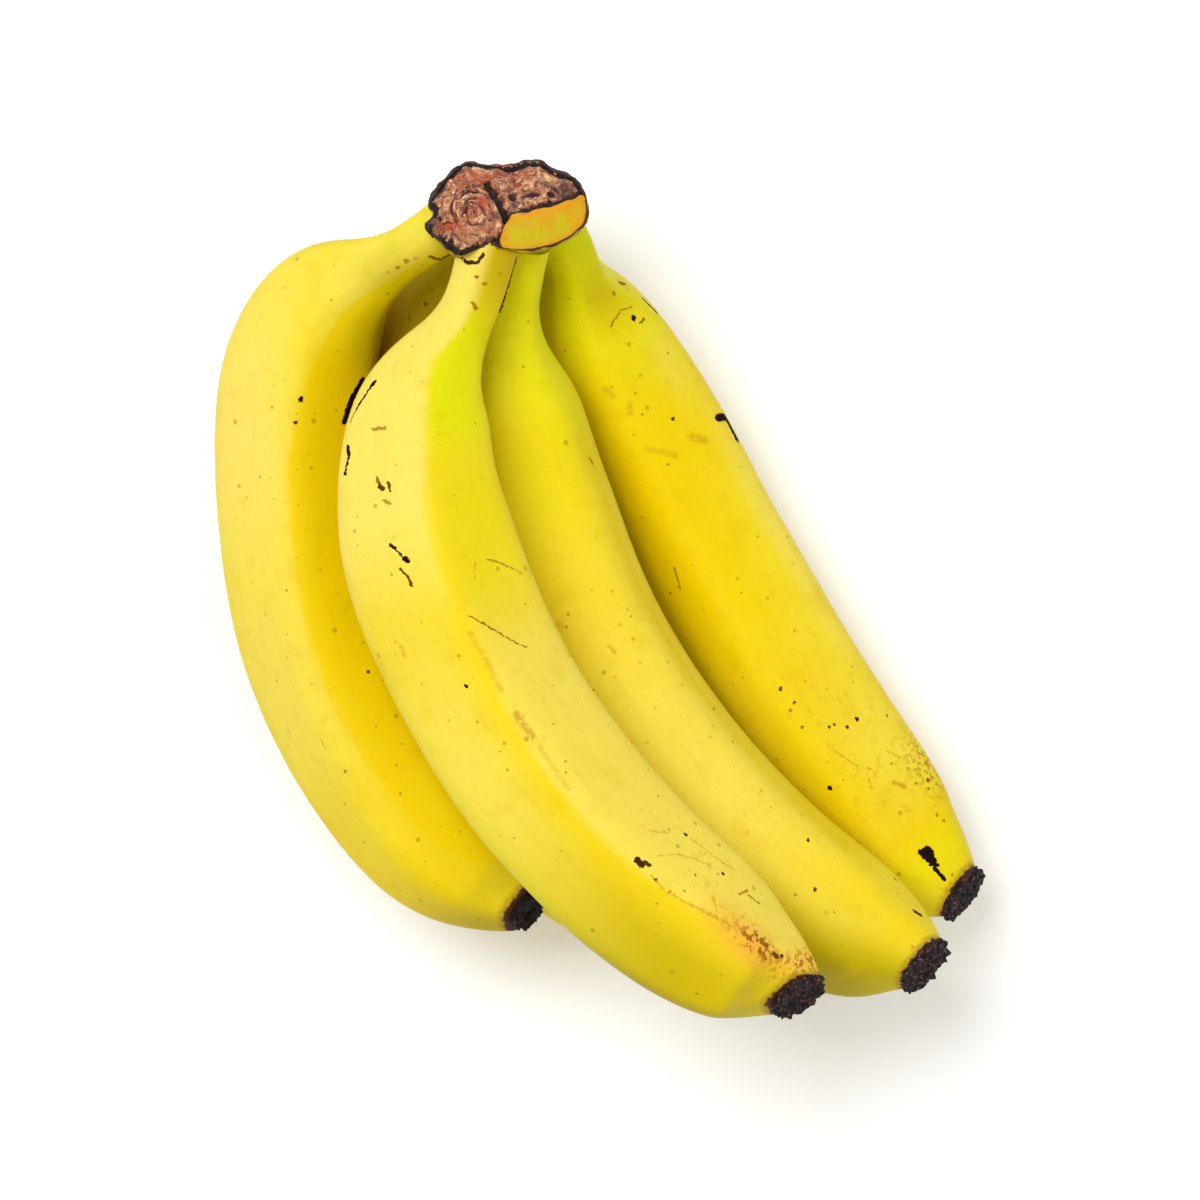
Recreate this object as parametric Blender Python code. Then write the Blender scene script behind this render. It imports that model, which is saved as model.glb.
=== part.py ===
"""A hand of five bananas lying down: a cut crown, five fingers and the dried flower end of each.

Millimetre tables, metre output, +Z up. The hand rests on the undersides of fingers 4 and 5.
"""
import bpy
import bmesh
import numpy as np
from mathutils import Vector

MM = 0.001
GAP = 0.3                      # clearance between neighbouring pieces
SIDES = 20                     # four facets between ridges
RINGS = 26
GROUND = -77.3                 # height of the resting surface in the tables below
CENTRE = (0.8, 2.6)            # middle of the footprint in the tables below

# Each finger: radius of its body, stretch of its neck along the axis, thickening of its stalk,
# angle of its first ridge from the top, turn of the ridges along it, radius of its flower end,
# the way its end faces, and its axis from the crown to the flower end.
FINGERS = {
    1: dict(radius=18.0, neck=0.95, stalk=1, ridge=11, turn=46, stub=5.0, face=(.70, -.55, .45), axis=(
        (-33, 81.5, -9), (-44, 74.5, -13), (-57, 66.6, -20), (-64.8, 53.8, -26), (-66, 30, -31), (-61.8, -3.2, -33),
        (-47.4, -36.2, -33), (-33.2, -53.9, -32), (-24.3, -61.4, -31), (-15.9, -67.9, -30))),
    2: dict(radius=18.6, neck=1.08, stalk=1, ridge=-7, turn=-25, stub=6.1, face=(.48, -.73, .48), axis=(
        (-24, 76, 0), (-28.3, 62, 1), (-35.8, 47.6, 2), (-39.2, 31, 2), (-34.3, 3.1, 1.5),
        (-23.1, -21.7, 1), (-2.6, -49.9, 1), (20, -70.4, 0), (34.2, -80.4, 0), (42.5, -85.0, .5))),
    3: dict(radius=18.2, neck=1.05, stalk=1, ridge=30, turn=0, stub=6.6, face=(.72, -.57, .39), axis=(
        (-17, 77, -11.8), (-19.6, 61, -17.5), (-17.8, 37.8, -27), (-9.4, 4.2, -32.5), (1.2, -17.2, -33.5),
        (21.3, -44.8, -33.5), (42, -63.8, -32), (61.5, -75.4, -27), (71.1, -80.0, -23))),
    4: dict(radius=18.4, neck=0.86, stalk=1.05, ridge=10, turn=0, stub=6.4, face=(.78, -.53, .33), axis=(
        (-8.8, 80, -26), (-5.7, 68.4, -40), (5, 47.5, -54), (21.3, 16.2, -60.3), (40, -16.4, -59.8),
        (59.3, -44.7, -59.8), (70.0, -57.1, -57.5), (77.3, -62.9, -53.5), (81.3, -65.8, -51.5))),
    5: dict(radius=17.3, neck=1, stalk=1, ridge=0, turn=0, stub=5.7, face=(.77, -.51, .38), axis=(
        (-27.5, 79.5, -26.5), (-37.5, 68, -38), (-42.6, 50, -53.5), (-39.5, 22, -61.3), (-32.5, -8, -61.5),
        (-18, -37, -61.5), (-1, -60, -59.5), (15, -72, -52.5))),
}
# Share of the length and share of the body radius.
SHAPE = ((0, .34), (.05, .33), (.09, .37), (.13, .53), (.17, .73), (.24, .88), (.32, .965),
         (.45, 1), (.70, .995), (.80, .965), (.86, .925), (.91, .835), (.95, .68), (.98, .49), (1, .335))
RIDGE = 0.035


def material(name, colour, roughness):
    mat = bpy.data.materials.new(name)
    mat.use_nodes = True
    shader = mat.node_tree.nodes["Principled BSDF"]
    shader.inputs["Base Color"].default_value = (*colour, 1)
    shader.inputs["Roughness"].default_value = roughness
    shader.inputs["Metallic"].default_value = 0
    return mat


def smooth_path(knots, count):
    """Cubic spline through the knots, sampled evenly along its length."""
    p = np.array(knots, float)
    u = np.r_[0, np.cumsum(np.linalg.norm(np.diff(p, axis=0), axis=1))]
    h, n = np.diff(u), len(p)
    a, b = np.eye(n), np.zeros_like(p)
    for i in range(1, n - 1):
        a[i, i - 1:i + 2] = h[i - 1], 2 * (h[i - 1] + h[i]), h[i]
        b[i] = 6 * ((p[i + 1] - p[i]) / h[i] - (p[i] - p[i - 1]) / h[i - 1])
    m = np.linalg.solve(a, b)
    s = np.linspace(0, u[-1], 600)
    k = np.clip(np.searchsorted(u, s, side="right") - 1, 0, n - 2)
    hk, x, y = h[k][:, None], (u[k + 1] - s)[:, None], (s - u[k])[:, None]
    q = (m[k] * x ** 3 + m[k + 1] * y ** 3) / (6 * hk)
    q += (p[k] / hk - m[k] * hk / 6) * x + (p[k + 1] / hk - m[k + 1] * hk / 6) * y
    length = np.r_[0, np.cumsum(np.linalg.norm(np.diff(q, axis=0), axis=1))]
    even = np.linspace(0, length[-1], count)
    return np.stack([np.interp(even, length, q[:, i]) for i in range(p.shape[1])], 1), length[-1]


def frames(path, length, face):
    """Forward, sideways and upward directions along a path; the last 14 mm turn towards the end face."""
    t = np.gradient(path, axis=0)
    t /= np.linalg.norm(t, axis=1)[:, None]
    w = np.clip(1 - np.linspace(length, 0, len(path)) / 14, 0, 1)[:, None]
    w = w * w * (3 - 2 * w)
    t = t * (1 - w) + np.array(face) * w
    t /= np.linalg.norm(t, axis=1)[:, None]
    side = np.cross(t, (0, 0, 1))
    side /= np.linalg.norm(side, axis=1)[:, None]
    return t, side, np.cross(side, t)


def finger_rings(spec, start, count, grow=0.0):
    """Rings of points round a finger from a distance along its axis to its flower end."""
    path, length = smooth_path(spec["axis"], 400)
    stop = length - 0.6
    s = np.linspace(0, 1, count)
    s = start + (stop - start) * (s - 0.09 * np.sin(2 * np.pi * s))
    t, side, up = frames(path, length, spec["face"])
    knots = [(x * (spec["neck"] if x < 0.3 else 1) * length,
              y * (spec["stalk"] if x < 0.1 else 1) * spec["radius"]) for x, y in SHAPE]
    shape = smooth_path(knots, 500)[0]
    radius = np.interp(s * length / stop, shape[:, 0], shape[:, 1]) + grow
    at = np.linspace(0, length, 400)
    pick = lambda v: np.stack([np.interp(s, at, v[:, i]) for i in range(3)], 1)
    c, side, up = pick(path), pick(side), pick(up)
    turn = np.radians(spec["ridge"] + spec["turn"] * (s / length - 0.5))
    ring = np.arange(SIDES) * 2 * np.pi / SIDES
    swell = 1 + RIDGE * (np.cos(5 * ring) + 0.2 * np.cos(10 * ring))
    ang = turn[:, None] + ring[None]
    r = radius[:, None] * swell[None]
    pts = (c[:, None] + side[:, None] * (np.sin(ang) * r)[..., None]
           + up[:, None] * (np.cos(ang) * r)[..., None])
    pts[..., 2] = np.maximum(pts[..., 2], GROUND)
    return pts


def place(point):
    x, y, z = point
    return Vector(((x - CENTRE[0]) * MM, (y - CENTRE[1]) * MM, (z - GROUND) * MM))


def solid(name, rings, mat=None):
    """Closed body grown ring by ring from a first disc."""
    bm = bmesh.new()
    verts = bmesh.ops.create_circle(bm, cap_ends=True, segments=len(rings[0]), radius=1)["verts"]
    face = verts[0].link_faces[0]
    for vert, point in zip([l.vert for l in face.loops], rings[0]):
        vert.co = place(point)
    for step, ring in enumerate(rings[1:]):
        grown = bmesh.ops.extrude_face_region(bm, geom=[face])["geom"]
        if step:
            bmesh.ops.delete(bm, geom=[face], context="FACES_ONLY")
        face = [g for g in grown if isinstance(g, bmesh.types.BMFace)][0]
        for vert, point in zip([l.vert for l in face.loops], ring):
            vert.co = place(point)
    bmesh.ops.recalc_face_normals(bm, faces=bm.faces)
    for f in bm.faces:
        f.smooth = len(f.verts) < 6
    mesh = bpy.data.meshes.new(name)
    bm.to_mesh(mesh)
    bm.free()
    obj = bpy.data.objects.new(name, mesh)
    bpy.context.scene.collection.objects.link(obj)
    if mat:
        mesh.materials.append(mat)
    return obj


def flower_end(number, spec, mat):
    """Thin dry disc on the end face of a finger."""
    path, length = smooth_path(spec["axis"], 400)
    t, side, up = frames(path, length, spec["face"])
    t, side, up, tip = t[-1], side[-1], up[-1], path[-1]
    ring = np.arange(12) * 2 * np.pi / 12
    rings = []
    for along, r in ((-.3, .95), (.2, 1), (.8, .95), (1.3, .8), (1.5, .55)):
        wob = r * spec["stub"] * (1 + 0.06 * np.cos(3 * ring + number) + 0.04 * np.cos(5 * ring))
        c = tip + t * along
        rings.append([c + side * w * np.sin(a) + up * w * np.cos(a) for a, w in zip(ring, wob)])
    return solid("flower_end_%d" % number, rings, mat)


def crown(mat):
    """Upright pad that joins the necks, before its faces are cut."""
    ring = np.arange(28) * 2 * np.pi / 28
    c, s = np.cos(ring), np.sin(ring)
    lump = 1 + 0.04 * np.cos(3 * ring + 0.6) + 0.03 * np.cos(5 * ring - 1)
    x = 17.0 * lump * np.sign(c) * np.abs(c) ** 0.75
    y = 10.4 * lump * np.sign(s) * np.abs(s) ** 0.75
    rings = []
    for z, size in ((-34, .56), (-33, .75), (-30, .85), (-22, .89), (-12, .94), (-4, .98), (4, 1), (14, .97)):
        rings.append([(-20.5 + a * size, 84.2 + b * size, z) for a, b in zip(x, y)])
    return solid("crown", rings, mat)


def pare(obj, point, normal):
    """Slice a body flat and close the slice."""
    bm = bmesh.new()
    bm.from_mesh(obj.data)
    geom = bm.verts[:] + bm.edges[:] + bm.faces[:]
    cut = bmesh.ops.bisect_plane(bm, geom=geom, plane_co=place(point), plane_no=Vector(normal),
                                 clear_outer=True)["geom_cut"]
    edges = [e for e in cut if isinstance(e, bmesh.types.BMEdge)]
    bmesh.ops.contextual_create(bm, geom=edges)
    bmesh.ops.recalc_face_normals(bm, faces=bm.faces)
    bm.to_mesh(obj.data)
    bm.free()


def socket(obj, cutters):
    """Hollow a body where the necks enter it."""
    for cutter in cutters:
        mod = obj.modifiers.new("neck", "BOOLEAN")
        mod.operation, mod.solver, mod.object = "DIFFERENCE", "EXACT", cutter
    deps = bpy.context.evaluated_depsgraph_get()
    mesh = bpy.data.meshes.new_from_object(obj.evaluated_get(deps))
    obj.modifiers.clear()
    obj.data = mesh
    mesh.name = obj.name
    for cutter in cutters:
        bpy.data.objects.remove(cutter, do_unlink=True)


def build():
    for old in list(bpy.data.objects):
        bpy.data.objects.remove(old, do_unlink=True)
    skin = material("peel", (0.82, 0.62, 0.04), 0.45)
    dry = material("dried_flower", (0.035, 0.022, 0.018), 0.9)
    cut = material("cut_crown", (0.45, 0.27, 0.12), 0.85)
    pad = crown(cut)
    pare(pad, (-20, 84.5, -1), (-0.05, 0.70, 0.71))
    pare(pad, (-12, 80, 2.6), (0.36, 0.27, 0.89))
    cutters = []
    for number, spec in FINGERS.items():
        solid("banana_%d" % number, finger_rings(spec, 0, RINGS), skin)
        flower_end(number, spec, dry)
        cutters.append(solid("socket_%d" % number, finger_rings(spec, -0.01, RINGS, GAP)))
    socket(pad, cutters)


build()
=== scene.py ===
"""A hand of five bananas lying on a pale table, seen from straight above."""
import bpy
import bmesh
import numpy as np
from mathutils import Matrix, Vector, noise
from mathutils.bvhtree import BVHTree


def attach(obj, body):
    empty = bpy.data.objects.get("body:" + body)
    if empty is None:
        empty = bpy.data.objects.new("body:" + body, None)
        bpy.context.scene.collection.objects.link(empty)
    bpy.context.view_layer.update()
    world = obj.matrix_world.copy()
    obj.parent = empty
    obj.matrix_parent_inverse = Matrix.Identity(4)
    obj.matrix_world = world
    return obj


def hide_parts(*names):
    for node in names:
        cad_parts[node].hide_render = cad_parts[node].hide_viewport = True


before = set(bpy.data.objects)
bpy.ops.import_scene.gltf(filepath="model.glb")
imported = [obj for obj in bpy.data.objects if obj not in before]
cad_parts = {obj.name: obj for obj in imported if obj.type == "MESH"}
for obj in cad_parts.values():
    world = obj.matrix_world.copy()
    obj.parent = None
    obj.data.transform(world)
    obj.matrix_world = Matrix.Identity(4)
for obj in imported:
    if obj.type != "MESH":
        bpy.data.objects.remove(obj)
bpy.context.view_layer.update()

# ---------------------------------------------------------------- sizes, in millimetres
MM = 0.001
GROUND = -77.3                 # height of the table in the tables below
CENTRE = (0.8, 2.6)            # middle of the footprint in the tables below
SIDES = 100                    # columns round a finger
RINGS = 260                    # rings along it
STEPS = 800                    # places along a finger's axis
GIRTH = 115                    # mm round a finger, for the finish
END_GAP = 0.3                  # between the peel and the dry flower end
USUAL_EDGE = 4                 # how crisp a wash's edge is round the finger
FACET = 7.0                    # how flat the five facets are: higher is flatter with sharper ridges
EYE = 1200.0                   # height of the lens above the nearest finger's axis
VIEW = 258.0                   # width of the view at that axis

FINGERS = {
    1: dict(radius=18.0, neck=0.95, stalk=1, ridge=11, turn=46, stub=5.0, face=(.70, -.55, .45), axis=(
        (-33, 81.5, -9), (-44, 74.5, -13), (-57, 66.6, -20), (-64.8, 53.8, -26), (-66, 30, -31),
        (-61.8, -3.2, -33), (-47.4, -36.2, -33), (-33.2, -53.9, -32), (-24.3, -61.4, -31), (-15.9, -67.9, -30))),
    2: dict(radius=18.6, neck=1.08, stalk=1, ridge=-7, turn=-25, stub=6.1, face=(.48, -.73, .48), axis=(
        (-24, 76, 0), (-28.3, 62, 1), (-35.8, 47.6, 2), (-39.2, 31, 2), (-34.3, 3.1, 1.5),
        (-23.1, -21.7, 1), (-2.6, -49.9, 1), (20, -70.4, 0), (34.2, -80.4, 0), (42.5, -85.0, .5))),
    3: dict(radius=18.2, neck=1.05, stalk=1, ridge=30, turn=0, stub=6.6, face=(.72, -.57, .39), axis=(
        (-17, 77, -11.8), (-19.6, 61, -17.5), (-17.8, 37.8, -27), (-9.4, 4.2, -32.5), (1.2, -17.2, -33.5),
        (21.3, -44.8, -33.5), (42, -63.8, -32), (61.5, -75.4, -27), (71.1, -80.0, -23))),
    4: dict(radius=18.4, neck=1.0, stalk=1.02, ridge=10, turn=0, stub=6.4, face=(.78, -.53, .33), axis=(
        (-11.4, 84, -20), (-7.0, 75.6, -28), (-4.9, 68.4, -37), (5, 47.5, -53), (21.3, 16.2, -60.3),
        (40, -16.4, -59.8), (59.3, -44.7, -59.8), (70.0, -57.1, -57.5), (77.3, -62.9, -53.5),
        (81.3, -65.8, -51.5))),
    5: dict(radius=17.3, neck=1, stalk=1, ridge=0, turn=0, stub=5.7, face=(.77, -.51, .38), axis=(
        (-27.5, 79.5, -26.5), (-37.5, 68, -38), (-42.6, 50, -53.5), (-39.5, 22, -61.3), (-32.5, -8, -61.5),
        (-18, -37, -61.5), (-1, -60, -59.5), (15, -72, -52.5))),
}
# Share of the length and share of the body radius.
SHAPE = ((0, .34), (.05, .33), (.09, .37), (.13, .53), (.17, .73), (.24, .88), (.32, .965),
         (.45, 1), (.70, .995), (.80, .965), (.86, .925), (.91, .835), (.95, .68), (.98, .49), (1, .335))

# Broad washes of tone on each finger: kind, middle and reach along it in mm, middle and reach round it
# in degrees from the top (right of the axis is positive), strength and, for an edge that is softer than
# usual, how crisp it is. Pale is painted highlight on lit facets, ridges and edges; shade is painted
# shade; gold is a deeper yellow, partly painted shade on facets turned from the light or lying in a
# neighbour's shadow; umber is brown, partly painted shade in the crevices between fingers.
WASHES = {
    1: (("green", 8, 26, 20, 200, .25), ("pale", 60, 45, -50, 50, .95), ("pale", 110, 36, -50, 50, .6),
        # Finger 1's umber and shade on its right flank by the neck: painted shade of the crevice by finger 2.
        ("pale", 14, 18, -10, 60, 1), ("umber_and_shade", 46, 20, 92, 24, .8), ("shade", 30, 14, 70, 30, .5),
        ("gold_and_shade", 168, 24, -40, 70, .5), ("shade", 182, 14, -90, 50, .7), ("shade", 14, 8, 30, 60, .4)),
    2: (("green", 60, 24, 48, 34, .2), ("ochre", 4, 12, 40, 40, .9), ("ochre", 16, 6, 55, 26, .4),
        ("pale", 50, 26, -86, 10, 1, 2), ("pale", 112, 40, -40, 40, .5), ("pale", 80, 60, 82, 6, .9, 2),
        # Finger 2's green and shade under its tip are painted shade on the underside.
        ("green", 150, 40, -92, 34, .8), ("shade", 172, 26, -88, 44, .85),
        ("shade", 168, 26, -40, 34, .5), ("shade", 190, 8, -50, 50, .3), ("speck", 183, 8, 24, 11, 1),
        ("speck", 193, 3, 60, 60, .9), ("flush", 182, 12, 20, 16, 1, 2), ("flush", 193, 3, 60, 60, .7),
        ("scuff", 162, 24, 45, 30, .8), ("scuff", 105, 12, 38, 22, .4)),
    3: (("green", 10, 32, 20, 200, .8), ("green", 50, 22, -10, 44, .35), ("gold_and_shade", 62, 40, 10, 60, .5),
        ("pale", 128, 60, 24, 36, .55), ("pale", 90, 70, 82, 6, .8, 2), ("gold_and_shade", 130, 60, -62, 34, .8),
        ("gold_and_shade", 182, 16, 40, 30, .6), ("green", 176, 18, -60, 40, .7), ("shade", 182, 20, -60, 56, .9),
        ("gold_and_shade", 192, 8, 20, 50, .6), ("shade", 24, 22, -70, 24, .4)),
    4: (("green", 6, 30, 20, 200, .9), ("ochre", 22, 9, 36, 30, .45), ("gold_and_shade", 84, 70, -30, 70, 1),
        ("pale", 100, 40, 62, 16, .6), ("pale", 46, 12, 46, 14, .5), ("pale", 150, 30, 40, 40, .3),
        ("speck", 164, 9, 66, 22, .7), ("scuff", 155, 24, 15, 40, 1), ("scuff", 24, 9, 20, 34, .8),
        ("gold_and_shade", 160, 26, -40, 60, .7), ("green", 186, 5, 20, 200, .4), ("gold_and_shade", 180, 12, 20, 60, .8),
        ("shade", 176, 18, -80, 40, .5)),
    # Finger 5's umber: brown, partly painted shade where it lies deep under the other fingers.
    5: (("green", 14, 26, 20, 200, .2), ("umber_and_shade", 30, 34, 0, 200, .55), ("umber_and_shade", 34, 20, -60, 50, 1),
        ("green", 178, 12, 0, 200, .5)),
}

# Facets that differ in tone from their neighbours: kind, strength, how soft the two edges are in degrees,
# over how many mm it fades out at its ends, then distances along the finger with the angles where the
# facet begins and ends. Pale facets are painted highlight; gold and shade facets are painted shade on
# facets turned from the light or lying in a neighbour's shadow, gold partly the peel's own deeper yellow.
FACETS = {
    1: (("gold_and_shade", 1, (4, 4), 10, ((14, 40, 100), (25, 24, 100), (42, 14, 100), (57, 2, 100), (70, -7, 100),
                                 (120, -9, 100), (160, -7, 100), (172, 0, 100))),),
    2: (("pale", .9, (8, 8), 30, ((2, -90, 12), (12, -90, 18), (20, -90, 5), (28, -90, -6), (36, -90, 5),
                                  (47, -90, 10), (60, -90, 4))),
        ("green", .85, (12, 26), 16, ((18, 8, 75), (28, -4, 72), (38, 8, 66))),
        ("pale", .6, (5, 5), 20, ((98, 10, 95), (104, 7, 95), (120, 5, 95), (146, 5, 95), (162, 12, 95),
                                  (176, 18, 95), (190, 24, 95))),
        ("gold_and_shade", .6, (20, 5), 20, ((98, -4, 9), (104, -9, 6), (124, -11, 4), (140, -16, 4), (154, -28, 8),
                                   (173, -48, 16), (188, -52, 24)))),
    4: (("shade", .4, (12, 12), 10, ((14, -100, -50), (60, -100, -44), (110, -100, -48), (160, -100, -60))),),
}

# Blemishes, and on fingers 1 and 3 a first stroke of painted shadow along the crevice next to finger 2:
# points that a stroke passes through, as seen from above on the nearest finger's level,
# its half width, and its darkness from a faint ochre stain (0.3) to black (1). One point makes a dot.
MARKS = {
    # Painted shadow: the dark crevice between fingers 1 and 2, not a blemish.
    1: ((((-54.9, 38.4), (-53.4, 43.2), (-51.0, 47.2)), .70, .95),
        (((-36.6, 73.8), (-34.2, 73.2), (-32.5, 74.2)), .4, .62), (((-64.3, 43.2),), .60, 1),
        (((-65.4, 38.1),), .42, .8), (((-49.9, -15.5),), .42, .7), (((-54.8, -36.8),), .42, .5),
        (((-41.7, 72.9),), .6, .5), (((-39.6, 73.5),), .5, .45), (((-43.4, 71.4),), .5, .5),
        (((-45.6, 70.5),), .45, .4), (((-76, 22),), .35, .4), (((-72, -3),), .35, .35),
        (((-60, -30), (-59, -32)), .25, .35)),
    2: ((((-48.4, 46.9), (-49.0, 46.2)), .5, 1), (((-49.0, 46.2), (-50.6, 43.8), (-52.4, 41.0)), .30, .9),
        (((-52.6, 40.6), (-53.6, 38.4)), .22, .6), (((-48.8, 36.8), (-46.3, 36.9)), .36, .52),
        (((-54.3, 33.0), (-54.0, 31.2)), .5, 1), (((-54.0, 31.2), (-54.6, 28.0)), .34, 1),
        (((-54.8, 27.2),), .5, 1), (((-47.9, 26.0), (-47.2, 24.4)), .5, .6),
        (((-47.4, 24.6), (-46.7, 23.8)), .5, .8), (((-45.5, 25.2), (-45.1, 23.4)), .36, .7),
        (((-46.6, 21.4), (-45.0, 20.7)), .30, .5), (((-44.3, 13.3),), .45, .4),
        (((-45.0, 11.8), (-44.2, 11.2)), .42, 1), (((-42.0, 8.8), (-41.4, 8.4)), .62, 1),
        (((-44.2, 11.2), (-42.0, 8.8)), .22, .9), (((-43.0, 6.7), (-41.3, 5.0), (-40.5, 3.1)), .32, .75),
        (((-24.2, 8.8), (-21.2, 7.9), (-18.9, 6.8)), .20, .5), (((-18.9, 6.8), (-17.0, 5.8)), .26, .4),
        (((-28.0, -3.4), (-24.2, -5.6), (-18.9, -8.8), (-15.8, -10.2)), .22, .58),
        (((-26.9, 8.2), (-26.9, 4.7)), .22, .38),
        (((-43.9, -8.8), (-42.6, -10.3), (-41.9, -12.0)), .5, .3), (((-28.8, -18.5),), .50, 1),
        (((-18.1, -24.5), (-14.6, -29.4)), .75, .42),
        (((-28.0, -7.1), (-23.8, -14.2), (-21.2, -19.4)), .6, .2),
        (((-13.0, -31.5), (-6.9, -40.6)), .5, .2), (((7.9, -55.8), (9.0, -57.0)), .60, .86),
        (((9.6, -56.4), (10.5, -57.0)), .42, .82), (((11.9, -60.1),), .42, .7),
        (((11.0, -59.2), (13.5, -62.0), (17.8, -64.7), (25.6, -68.6), (29.8, -70.9)), .30, .4),
        (((18.4, -50.4),), .45, .9), (((26.4, -58.8),), .45, .9), (((20.5, -59.1),), .35, .6),
        (((10.8, -49.7), (14.4, -50.0)), .30, .36),
        (((12.5, -55.0), (17.2, -54.7), (21.5, -56.1), (24.9, -57.8)), .18, .42),
        (((19.4, -51.2), (24.9, -55.4), (29.2, -58.2)), .18, .42),
        (((29.9, -63.2), (31.8, -62.4)), .28, .5), (((32.0, -63.6), (34.2, -65.2)), .28, .5),
        (((25.2, -66.9), (24.1, -63.2)), .20, .4), (((31.0, -71.8), (32.3, -72.9)), .50, .55),
        (((33.6, -72.0),), .55, .6), (((34.6, -73.4), (35.9, -74.4)), .60, .6),
        (((37.3, -76.0), (38.2, -76.8)), .50, .7), (((34.4, -75.6), (35.6, -77.0)), .5, .55),
        (((39.1, -76.5),), .55, .8), (((15.5, -80.0),), .5, .45), (((-26.6, 69.5),), .5, .6),
        (((-24.8, 68.0),), .5, .5), (((-27.4, 64.0), (-26.6, 62.6)), .45, .55),
        (((-30.8, 74.8), (-28.6, 72.6), (-26.4, 72.4), (-25.2, 74.2)), .42, .85)),
    # Painted shadow: the dark line where finger 3's neck meets finger 2, not a blemish.
    3: ((((-18.1, 73.6), (-19.4, 69.2), (-20.6, 65.2), (-21.6, 62.0)), .32, .8),
        (((-2.2, 30.4), (-1.6, 29.4)), .50, .55), (((24.5, -23.4),), .42, .85),
        (((44.7, -51.6),), .42, .85), (((46.2, -62.2),), .50, .8), (((63.6, -60.2),), .38, .7),
        (((67.6, -66.9), (68.9, -67.7)), .60, .85), (((-8.8, -5.6),), 1.0, .22),
        (((2.8, 1.9),), .38, .38), (((6.0, -1.9),), .38, .38), (((4.3, -5.2),), .38, .38),
        (((11.0, -4.5),), .38, .38), (((7.1, -8.4),), .38, .38), (((1.9, -9.9), (3.2, -11.2)), .3, .36),
        (((8.6, -13.5),), .38, .38), (((3.2, -16.6),), .38, .38), (((17.6, -18.3),), .38, .36),
        (((10.1, -30.7),), .38, .36), (((23.7, -29.5),), .38, .36), (((31.6, -49.9),), .4, .4),
        (((34.6, -41.1),), .4, .4), (((43.4, -46.2),), .45, .45), (((48.6, -67.3),), .4, .4)),
    4: ((((4.2, 68.2), (5.3, 68.0)), .55, .62), (((3.0, 65.8),), .6, .5),
        (((6.9, 63.0), (4.7, 62.4), (3.2, 60.4), (2.4, 58.9)), .26, .5), (((7.3, 60.6),), .70, .95),
        (((8.6, 59.6), (9.4, 60.4)), .3, .6), (((9.4, 64.6), (10.8, 63.2), (12.0, 62.0)), .50, .95),
        (((15.7, 38.9),), .52, .8), (((8.6, 48.2),), .4, .4), (((25.4, 39.2), (27.0, 39.3)), .9, 1),
        (((27.0, 39.3), (28.6, 36.3), (29.4, 34.6)), .80, 1), (((29.4, 34.6), (31.4, 31.8)), .32, .6),
        (((1.1, 45.4), (2.8, 43.9)), .7, .26), (((6.5, 41.9), (6.5, 40.2)), .7, .26),
        (((19.5, 35.2), (22.6, 34.4)), .9, .3), (((10.1, 32.5), (16.1, 31.2)), .7, .22),
        (((15.9, 6.9), (16.8, 4.3), (17.2, 2.6)), .32, .52), (((15.1, 1.5),), .38, .5),
        (((22.1, -2.2),), .4, .4), (((23.4, -14.8),), .45, .45), (((38.9, -19.1),), .40, .7),
        (((41.7, -22.1),), .40, .7), (((40.9, -23.7),), .35, .5), (((43.4, -27.3),), .40, .6),
        (((49.2, -27.3),), .42, .8), (((50.3, -26.7),), .42, .7), (((53.1, -27.3),), .45, .8),
        (((55.3, -25.6),), .50, .9), (((61.7, -24.9),), .35, .5), (((48.8, -19.1),), .35, .4),
        (((49.5, -40.4),), .62, .95),
        (((49.2, -31.6), (51.8, -33.3), (54.8, -35.3), (58.3, -36.3)), .22, .42),
        (((57.2, -37.4), (58.5, -40.6)), .22, .4), (((61.7, -32.5), (64.5, -33.8)), .22, .4),
        (((63.2, -39.3), (65.6, -40.2)), .45, .45), (((67.9, -39.3),), .4, .5),
        (((70.5, -38.7),), .5, .7), (((66.2, -36.3),), .4, .45), (((70.7, -40.6),), .45, .5),
        (((72.5, -46.2),), .45, .55), (((74.0, -47.5),), .4, .5),
        (((69.0, -54.2), (70.4, -53.5)), .75, 1), (((69.4, -54.6), (70.9, -54.2)), .85, 1),
        (((69.9, -55.2), (71.3, -55.0)), .75, 1), (((70.6, -55.9), (71.9, -56.0)), .65, 1),
        (((71.3, -56.8), (72.4, -57.0)), .55, 1), (((72.0, -57.8), (74.2, -60.2)), .42, 1)),
    5: ((((-37.5, 63.5),), .5, .6), (((-41.0, 60.5),), .4, .5), (((-36.0, 66.5),), .4, .45)),
}

# The crown's outline from above, before it is cut.
CROWN_EDGE = ((-37.4, 85.8), (-35.2, 89.2), (-32.4, 92.8), (-29, 94.9), (-24.5, 94.2), (-20.5, 93.8),
              (-16.5, 94.8), (-12.6, 95.2), (-9.8, 93), (-6.2, 91.8), (-3, 87.6), (-2.4, 84.2), (-3.2, 80.8),
              (-6, 78), (-10, 76), (-14.6, 74.9), (-18.5, 74.5), (-23, 75.6), (-26.5, 75.2), (-29.8, 73.2),
              (-32, 74.2), (-34.6, 77.2), (-37.6, 78.8), (-37.8, 81), (-35.4, 83))
CROWN_MIDDLE = (-20.5, 84.2)
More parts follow.
